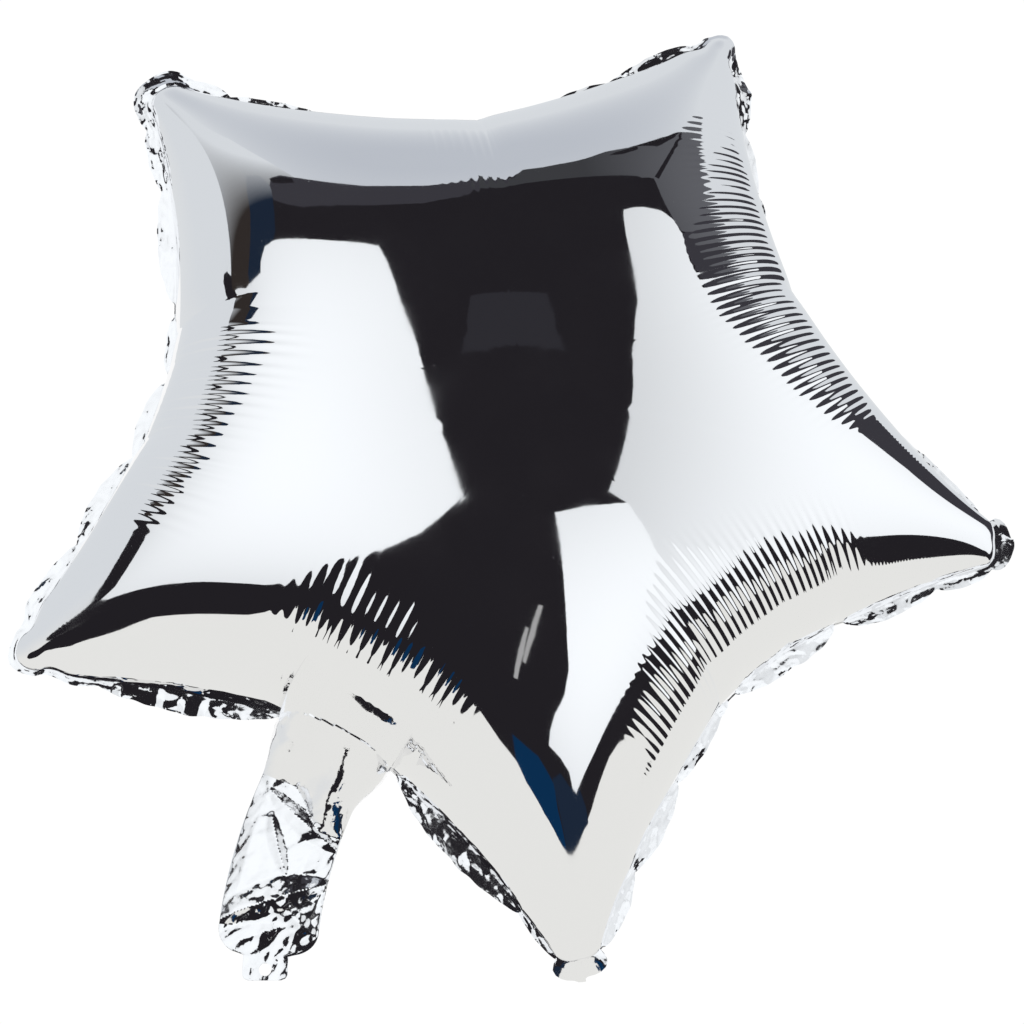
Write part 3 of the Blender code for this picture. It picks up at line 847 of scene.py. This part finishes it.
class BALLOON_OT_neck(bpy.types.Operator):
    """Crumpled filling neck: two plies that open into the star, and the tab with its hole"""

    bl_idname = "balloon.neck"
    bl_label = "Neck"

    COLUMNS = 81
    ROWS = 200
    CURL = 0.0016  # how far the left edge curls back
    # Crumples, coarse to fine: seed, share of the height, more of it low down, facet size
    CRUMPLES = ((31, 1, 0, 0.0170), (32, 0.30, 0.25, 0.0072), (33, 0.10, 0.12, 0.0032))
    BURST = (34, 0.8, 0.0040)  # crumples at the left root: seed, share of the height, facet size
    BELLY_TAB, BELLY_MORE = 0.0004, 0.0010  # half the gap between the plies: everywhere, midway
    HIDDEN, HIDDEN_MORE = 0.0009, 0.0018  # how far under the panels its top is: at all, at its end
    CREASE_ANGLE = 14

    def execute(self, context):
        side = np.sin(math.pi / 2 * np.linspace(-1, 1, self.COLUMNS))[None, :]
        down = np.linspace(NECK_TOP, TAB_END, self.ROWS)[:, None]
        across = side * neck_half_width(down)
        x, z = on_neck(across, down)
        middle, burst = self.middle(side, down, across), self.burst(side, down, across)
        mouth = self.mouth(side, down)
        thick = mouth + self.belly(side, down)
        front = pushed(np.stack((x, middle - thick, z), axis=-1), burst)
        back = pushed(np.stack((x, middle + thick, z), axis=-1), burst)
        points = np.concatenate((front, back[:, -2:0:-1]), axis=1).transpose(1, 0, 2)
        tops = np.arange(len(points)) * self.ROWS
        faces = [tuple(face[::-1]) for face in grid_faces(len(points), self.ROWS)]
        faces += [tuple(tops), tuple(tops[::-1] + self.ROWS - 1)]
        neck = film_object("filling_neck", points.reshape(-1, 3), faces, neck_film())
        punch_hole(neck)
        crisp(neck, self.CREASE_ANGLE)
        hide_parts("neck_root", "neck_front_ply", "neck_back_ply", "tie_tab")
        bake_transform(neck)
        return {"FINISHED"}

    def middle(self, side, down, across):
        """How far the neck leans, curls, folds and crumples towards the back, midway between its
        plies. Its left side does so from the root, and the rest from below the open mouth."""
        flat = ramp(down, 0.006, 0.028)
        flat = np.maximum(flat, 0.9 * ramp(-side, 0.10, 0.45) * ramp(down, -0.006, 0.004))
        tab = ramp(down, NECK_SHOULDER, NECK_END)
        low = ramp(down, 0.045, 0.065)
        curl = self.CURL * np.clip((-side - 0.74) / 0.26, 0, 1) * ramp(down, 0.075, 0.055)
        slant, run = 1.4 * across + 1.0 * down, 0.8 * down - 0.6 * across
        folded = sum(
            (share + more * low) * creased(slant, run, seed, facet)
            for seed, share, more, facet in self.CRUMPLES
        )
        crumpled = sizes().neck_crumple * folded + neck_folds(across, down)
        lean = curl - NECK_TWIST * across * (1 - 0.3 * tab)
        return flat * lean + flat * (1 - 0.6 * tab) * crumpled

    def burst(self, side, down, across):
        """How far the film at the neck's left root is crumpled, at right angles to it."""
        seed, share, facet = self.BURST
        near = ramp(-side, 0.20, 0.60) * (1 - side**8)
        near = near * ramp(down, -0.006, 0.002) * ramp(down, 0.032, 0.022)
        return near * share * sizes().neck_crumple * creased(across, down, seed, facet)

    def belly(self, side, down):
        """Half the gap that the trapped gas keeps between the plies below the mouth."""
        belly = self.BELLY_TAB + self.BELLY_MORE * ramp(down, 0.02, 0.04) * ramp(down, 0.085, 0.07)
        return belly * np.sqrt(np.clip(1 - side**2, 0, 1)) * ramp(down, -0.002, 0.008)

    def mouth(self, side, down):
        """Half the neck's thickness where it opens into the star: flat from the crease at the
        mouth's end up to where it touches the panels, and just inside them from there."""
        inside = self.panel_height(side, down)
        left, right = NECK_MOUTH_ENDS
        end = left + (right - left) * ramp(side, -0.3, 0.6)
        above = np.linspace(NECK_TOP, 0, 31)[:, None]
        slope = (self.panel_height(side, above) / (end - above)).max(axis=0)
        ruled = slope * np.clip(end - down, 0, None)
        bulge = np.clip(1 - side**4, 0, 1) ** (0.5 + 0.7 * ramp(down, 0, -0.010))
        hidden = self.HIDDEN + self.HIDDEN_MORE * ramp(down, -0.012, -0.019)
        return inside + np.clip(ruled - inside, 0, None) * bulge - np.minimum(hidden, inside)

    def panel_height(self, side, down):
        """How far the panels stand out at places of the neck, and zero below the seam."""
        x, z = on_neck(side * neck_half_width(down), down)
        level = membrane_level(np.stack(np.broadcast_arrays(x, z), axis=-1))
        in_star = np.hypot(x, z) < SEAM_NOTCH_R * 1.3
        return film_height(level) * (in_star & (down < 0.004))


def pushed(points, rise):
    """A ply's points moved at right angles to it, towards the back where the rise is positive."""
    normal = np.cross(np.gradient(points, axis=0), np.gradient(points, axis=1))
    normal *= np.where(normal[..., 1:2] < 0, -1, 1)
    normal /= np.maximum(np.linalg.norm(normal, axis=-1, keepdims=True), 1e-12)
    return points + normal * rise[..., None]


def punch_hole(neck):
    """Cuts the tab's round hole through both plies."""
    x, z = on_neck(0.0, TAB_END - TAB_HOLE_INSET)
    bpy.ops.object.select_all(action="DESELECT")
    bpy.ops.mesh.primitive_cylinder_add(
        vertices=32, radius=TAB_HOLE_R, depth=0.03, location=(x, 0, z), rotation=(math.pi / 2, 0, 0)
    )
    punch = bpy.context.active_object
    make_active(neck)
    cut = neck.modifiers.new("hole", "BOOLEAN")
    cut.operation = "DIFFERENCE"
    cut.object = punch
    bpy.ops.object.modifier_apply(modifier=cut.name)
    bpy.data.objects.remove(punch)
    merge_doubles(neck)


# Finishes


def add_node(tree, kind, settings=None, links=None):
    """Adds a node, sets its properties and its sockets, which a name or a number picks, and links
    sockets from other nodes' outputs."""
    node = tree.nodes.new(kind)
    for key, value in (settings or {}).items():
        if isinstance(key, int) or key in node.inputs:
            node.inputs[key].default_value = value
        else:
            setattr(node, key, value)
    for key, output in (links or {}).items():
        tree.links.new(output, node.inputs[key])
    return node


def map_range(tree, value, start, end, low=0.0, high=1.0):
    """A number that runs from low to high as the value runs from the start to the end."""
    settings = {"From Min": start, "From Max": end, "To Min": low, "To Max": high}
    return add_node(tree, "ShaderNodeMapRange", settings, {"Value": value}).outputs["Result"]


def mix_colours(tree, first, second, links):
    """The colour that runs from the first to the second as the linked factor goes from 0 to 1."""
    settings = {"data_type": "RGBA", MIX_A: first, MIX_B: second}
    return add_node(tree, "ShaderNodeMix", settings, links).outputs[MIX_RESULT]


def faceted_normal(tree, place, facets):
    """The surface's normal, tipped at random in each cell of crinkles of these sizes and tilts."""
    normal = add_node(tree, "ShaderNodeNewGeometry").outputs["Normal"]
    for size_mm, tilt in facets:
        cells = add_node(
            tree, "ShaderNodeTexVoronoi", {"Scale": 1000 / size_mm, "distance": "CHEBYCHEV"},
            {"Vector": place},
        )
        tip = add_node(
            tree, "ShaderNodeVectorMath", {"operation": "MULTIPLY_ADD", 1: (tilt,) * 3},
            {0: cells.outputs["Color"], 2: normal},
        )
        middle = add_node(
            tree, "ShaderNodeVectorMath", {"operation": "SUBTRACT", 1: (tilt / 2,) * 3},
            {0: tip.outputs["Vector"]},
        )
        normal = middle.outputs["Vector"]
    even = add_node(tree, "ShaderNodeVectorMath", {"operation": "NORMALIZE"}, {0: normal})
    return even.outputs["Vector"]


def film_material(name, roughness, crumple_mm, crumple_strength, facets=()):
    """Mirror-bright film: a metal shader whose roughness varies with handling haze and dust, and
    whose bump holds ripples too small for the mesh."""
    material = bpy.data.materials.new(name)
    material.use_nodes = True
    tree = material.node_tree
    shader = tree.nodes["Principled BSDF"]
    shader.inputs["Base Color"].default_value = linear(colours().film)
    shader.inputs["Metallic"].default_value = 1.0
    place = add_node(tree, "ShaderNodeTexCoord").outputs["Object"]
    haze = add_node(
        tree, "ShaderNodeTexNoise", {"Scale": 1000 / HAZE_MM, "Detail": 5.0}, {"Vector": place}
    )
    least, most = (roughness * share for share in HAZE_SHARES)
    hazy = map_range(tree, haze.outputs["Fac"], *HAZE_EDGES, least, most)
    dust = add_node(tree, "ShaderNodeTexVoronoi", {"Scale": 1000 / DUST_MM}, {"Vector": place})
    speck = map_range(tree, dust.outputs["Distance"], *DUST_EDGES, DUST_ROUGHNESS, 0)
    both = add_node(tree, "ShaderNodeMath", {"operation": "ADD"}, {0: hazy, 1: speck})
    tree.links.new(both.outputs["Value"], shader.inputs["Roughness"])
    grain = add_node(
        tree, "ShaderNodeTexNoise", {"Scale": 1000 / crumple_mm, "Detail": 2.0}, {"Vector": place}
    )
    bump = add_node(
        tree, "ShaderNodeBump", {"Strength": crumple_strength, "Distance": 0.0002},
        {"Height": grain.outputs["Fac"]},
    )
    if facets:
        tree.links.new(faceted_normal(tree, place, facets), bump.inputs["Normal"])
    tree.links.new(bump.outputs["Normal"], shader.inputs["Normal"])
    return material


def panel_film():
    """Nylon film with vacuum-deposited aluminium, drawn tight by the gas: a clear mirror."""
    return film_material("metallised_nylon_film_taut", 0.03, 6.0, 0.02)


def flange_film():
    """Two plies of the same film, heat-welded: as bright, with fine crinkles from the weld."""
    return film_material("metallised_nylon_film_welded", 0.08, 1.8, 0.05, ((2.4, 0.05),))


def neck_film():
    """The same film, handled and crumpled: bright facets with fine creases between them."""
    return film_material(
        "metallised_nylon_film_crumpled", 0.08, 3.0, 0.05, ((3.4, 0.05), (1.5, 0.04))
    )


# Studio


def view_axes():
    """The camera's right, up and backward directions, roll included."""
    back = Vector(
        (
            math.sin(VIEW_AZIMUTH) * math.cos(VIEW_ELEVATION),
            -math.cos(VIEW_AZIMUTH) * math.cos(VIEW_ELEVATION),
            math.sin(VIEW_ELEVATION),
        )
    )
    level = (-back).cross(Vector((0, 0, 1))).normalized()
    above = level.cross(-back)
    right = level * math.cos(VIEW_ROLL) + above * math.sin(VIEW_ROLL)
    up = above * math.cos(VIEW_ROLL) - level * math.sin(VIEW_ROLL)
    return right, up, back


def direction(axes, right_deg, up_deg, share=1.0):
    """Direction this many degrees to the right of the last of three axes and above it."""
    right, up, back = axes
    away = share * math.radians(math.hypot(right_deg, up_deg))
    turn = math.atan2(up_deg, right_deg)
    return math.sin(away) * (math.cos(turn) * right + math.sin(turn) * up) + math.cos(away) * back


def studio_direction(right_deg, up_deg):
    """Direction from the star, this many degrees to the right of the camera and above it."""
    return direction(view_axes(), right_deg, up_deg)


def back_direction(right_deg, up_deg):
    """The same studio behind the star, narrowed so that the front film doesn't show it."""
    axes = Vector((-1, 0, 0)), Vector((0, 0, 1)), Vector((0, 1, 0))
    return direction(axes, right_deg, up_deg, BACK_SHARE)


def nearness(tree, middle, far_degrees, near_degrees, far_value, near_value):
    """A value that runs from the far to the near one as a card's points near a direction."""
    place = add_node(tree, "ShaderNodeTexCoord").outputs["Object"]
    way = add_node(tree, "ShaderNodeVectorMath", {"operation": "NORMALIZE"}, {0: place})
    near = add_node(
        tree, "ShaderNodeVectorMath", {"operation": "DOT_PRODUCT", 1: studio_direction(*middle)},
        {0: way.outputs["Vector"]},
    )
    far_cos, near_cos = math.cos(math.radians(far_degrees)), math.cos(math.radians(near_degrees))
    return map_range(tree, near.outputs["Value"], far_cos, near_cos, far_value, near_value)


def glow(name, colour, strength, middle=None, reach=50, share=0.8, fades=False):
    """Light of one colour. Where a middle direction is given it falls off away from that, to a
    share of its strength at reach degrees. A dark part that fades turns pale at its top edge."""
    material = bpy.data.materials.new(name)
    material.use_nodes = True
    tree = material.node_tree
    tree.nodes.clear()
    light = add_node(tree, "ShaderNodeEmission", {"Color": colour, "Strength": strength})
    add_node(tree, "ShaderNodeOutputMaterial", links={"Surface": light.outputs["Emission"]})
    if middle is not None:
        fall = nearness(tree, middle, reach, 0, strength * share, strength)
        tree.links.new(fall, light.inputs["Strength"])
    if fades:
        pale = nearness(tree, FADE_MIDDLE, *FADE_DEGREES, 0, 1)
        mix = mix_colours(tree, colour, linear(colours().walls), {"Factor": pale})
        tree.links.new(mix, light.inputs["Color"])
    return material


def studio_card(name, outline, distance, material, towards=studio_direction):
    """A lit or dark card that only reflections see, with its corners in these directions."""
    bpy.ops.object.select_all(action="DESELECT")
    bpy.ops.mesh.primitive_circle_add(vertices=len(outline), radius=1, fill_type="NGON")
    card = bpy.context.active_object
    card.name = name
    for vert, corner in zip(card.data.vertices, outline):
        vert.co = towards(*corner) * distance
    card.data.materials.append(material)
    card.visible_camera = card.visible_diffuse = card.visible_shadow = False


def surroundings():
    """World light: plain white for the camera, cool above and warm below in reflections."""
    world = bpy.data.worlds.new("studio")
    bpy.context.scene.world = world
    world.use_nodes = True
    tree, tone = world.node_tree, colours()
    tree.nodes.clear()
    _, up, _ = view_axes()
    place = add_node(tree, "ShaderNodeTexCoord").outputs["Generated"]
    height = add_node(tree, "ShaderNodeVectorMath", {"operation": "DOT_PRODUCT", 1: up}, {0: place})
    low = map_range(tree, height.outputs["Value"], *TABLE_TO_WALLS)
    high = map_range(tree, height.outputs["Value"], *WALLS_TO_CEILING)
    walls, ceiling = linear(tone.walls), linear(tone.ceiling)
    sides = mix_colours(tree, linear(tone.table), walls, {"Factor": low})
    tint = mix_colours(tree, walls, ceiling, {"Factor": high, MIX_A: sides})
    seen = add_node(tree, "ShaderNodeLightPath").outputs["Is Camera Ray"]
    room = add_node(tree, "ShaderNodeBackground", {"Strength": STUDIO_GAIN}, {"Color": tint})
    white = add_node(tree, "ShaderNodeBackground", {"Color": WHITE, "Strength": VIEW_WHITE})
    both = add_node(
        tree, "ShaderNodeMixShader", {},
        {0: seen, 1: room.outputs["Background"], 2: white.outputs["Background"]},
    )
    add_node(tree, "ShaderNodeOutputWorld", {}, {"Surface": both.outputs["Shader"]})


class BALLOON_OT_stage(bpy.types.Operator):
    """Floor, camera, surroundings and the lit and dark cards that the film reflects"""

    bl_idname = "balloon.stage"
    bl_label = "Stage"

    def execute(self, context):
        context.scene.view_settings.view_transform = "Standard"
        surroundings()
        self.add_floor()
        self.add_cards()
        right, up, back = view_axes()
        bpy.ops.object.camera_add()
        camera = context.active_object
        camera.data.lens = VIEW_LENS
        camera.data.sensor_width = 36
        camera.location = VIEW_CENTRE + back * VIEW_DISTANCE
        camera.rotation_mode = "QUATERNION"
        camera.rotation_quaternion = Matrix((right, up, back)).transposed().to_quaternion()
        context.scene.camera = camera
        return {"FINISHED"}

    def add_floor(self):
        """A plain pale floor that the film doesn't reflect."""
        bpy.ops.object.select_all(action="DESELECT")
        bpy.ops.mesh.primitive_plane_add(size=7, location=(0, 0, -sizes().floor_drop))
        floor = bpy.context.active_object
        floor.name = "floor"
        paint = bpy.data.materials.new("matt_painted_floor")
        paint.use_nodes = True
        shader = paint.node_tree.nodes["Principled BSDF"]
        shader.inputs["Base Color"].default_value = linear(colours().floor)
        shader.inputs["Roughness"].default_value = 0.8
        floor.data.materials.append(paint)
        floor.visible_glossy = False

    def add_cards(self):
        """The softboxes and the dark room round them, and the same room behind the star."""
        tone, gain = colours(), STUDIO_GAIN
        room = glow("unlit_room", linear(tone.room), gain)
        fading_room = glow("unlit_ceiling", linear(tone.room), gain, fades=True)
        lit_grey = glow("lit_ceiling", linear(tone.lit_beams), gain, (66, 66), 34, 0.38)
        beam_grey = glow("grey_beam", linear(tone.beams), gain)
        faint = glow("faint_window", linear(tone.beams), gain * 0.65)
        door = glow("blue_door", linear(tone.door), gain)
        navy = glow("navy_wall", linear(tone.navy), gain)
        dark_navy = glow("navy_curtain", linear(tone.navy), gain * 0.9, fades=True)
        brown = glow("brown_curtain", linear(tone.curtain), gain, fades=True)
        slit = glow("lit_gap", WHITE, 0.40)
        for name, outline, material, layer in (
            ("dark_ceiling", DARK_CEILING, fading_room, ROOM_LAYER),
            ("dark_floor", DARK_FLOOR, room, ROOM_LAYER),
            ("dark_side", DARK_SIDE, room, ROOM_LAYER), ("dark_edge", DARK_EDGE, room, ROOM_LAYER),
            ("dark_beam", DARK_BEAM, beam_grey, BEAM_LAYER),
            ("dark_stem", DARK_STEM, room, ROOM_LAYER),
            ("grey_left", GREY_CEILING_LEFT, beam_grey, DOOR_LAYER),
            ("grey_right", GREY_CEILING_RIGHT, lit_grey, DOOR_LAYER),
            ("door", BLUE_DOOR, door, DOOR_LAYER),
            ("navy_curtain", NAVY_CURTAIN, dark_navy, DOOR_LAYER),
            ("navy_wall", NAVY_WALL, navy, CURTAIN_LAYER),
            ("brown_curtain", BROWN_CURTAIN, brown, CURTAIN_LAYER),
            ("window", FAINT_WINDOW, faint, CURTAIN_LAYER),
            *((f"dark_spot_{n}", spot, room, SPOT_LAYER) for n, spot in enumerate(DARK_SPOTS)),
            *((f"slit_{n}", gap, slit, SLIT_LAYER) for n, gap in enumerate(BRIGHT_SLITS)),
        ):
            studio_card(name, outline, layer, material)
        back_room = glow("back_room", linear(tone.back_room), gain)
        for name, outline in (
            ("floor", DARK_FLOOR), ("side", DARK_SIDE), ("ceiling", DARK_CEILING),
            ("stem", DARK_STEM),
        ):
            studio_card(f"back_{name}", outline, ROOM_LAYER, back_room, back_direction)
        plain = glow("back_softbox_cloth", WHITE, 1.0)
        for name, outline, middle, strength, reach, share in SOFTBOXES:
            light = glow(f"{name}_cloth", CLOTH_TINT, strength, middle, reach, share)
            studio_card(name, outline, SOFTBOX_LAYER, light)
            studio_card(f"back_{name}", outline, SOFTBOX_LAYER, plain, back_direction)


class BALLOON_PT_sidebar(bpy.types.Panel):
    """The balloon's pieces, with their sizes and colours"""

    bl_label = "Star foil balloon"
    bl_space_type = "VIEW_3D"
    bl_region_type = "UI"
    bl_category = "Balloon"

    def draw(self, context):
        """Lists every size and colour, then a button for each operator."""
        for group in (context.scene.balloon_sizes, context.scene.balloon_colours):
            for name in group.bl_rna.properties.keys():
                if name not in ("name", "rna_type"):
                    self.layout.prop(group, name)
        for operator in OPERATORS:
            self.layout.operator(operator.bl_idname)


OPERATORS = (BALLOON_OT_panels, BALLOON_OT_flange, BALLOON_OT_neck, BALLOON_OT_stage)
CLASSES = (BalloonSizes, BalloonColours, *OPERATORS, BALLOON_PT_sidebar)


def register():
    """Makes the operators, the sizes and colours and the panel known to Blender."""
    for item in CLASSES:
        bpy.utils.register_class(item)
    bpy.types.Scene.balloon_sizes = bpy.props.PointerProperty(type=BalloonSizes)
    bpy.types.Scene.balloon_colours = bpy.props.PointerProperty(type=BalloonColours)


def unregister():
    """Takes out again what register() made known."""
    del bpy.types.Scene.balloon_colours
    del bpy.types.Scene.balloon_sizes
    for item in reversed(CLASSES):
        bpy.utils.unregister_class(item)


def main():
    """Builds the balloon and its studio."""
    register()
    bpy.ops.balloon.panels()
    bpy.ops.balloon.flange()
    bpy.ops.balloon.neck()
    bpy.ops.balloon.stage()


if __name__ == "__main__":
    main()
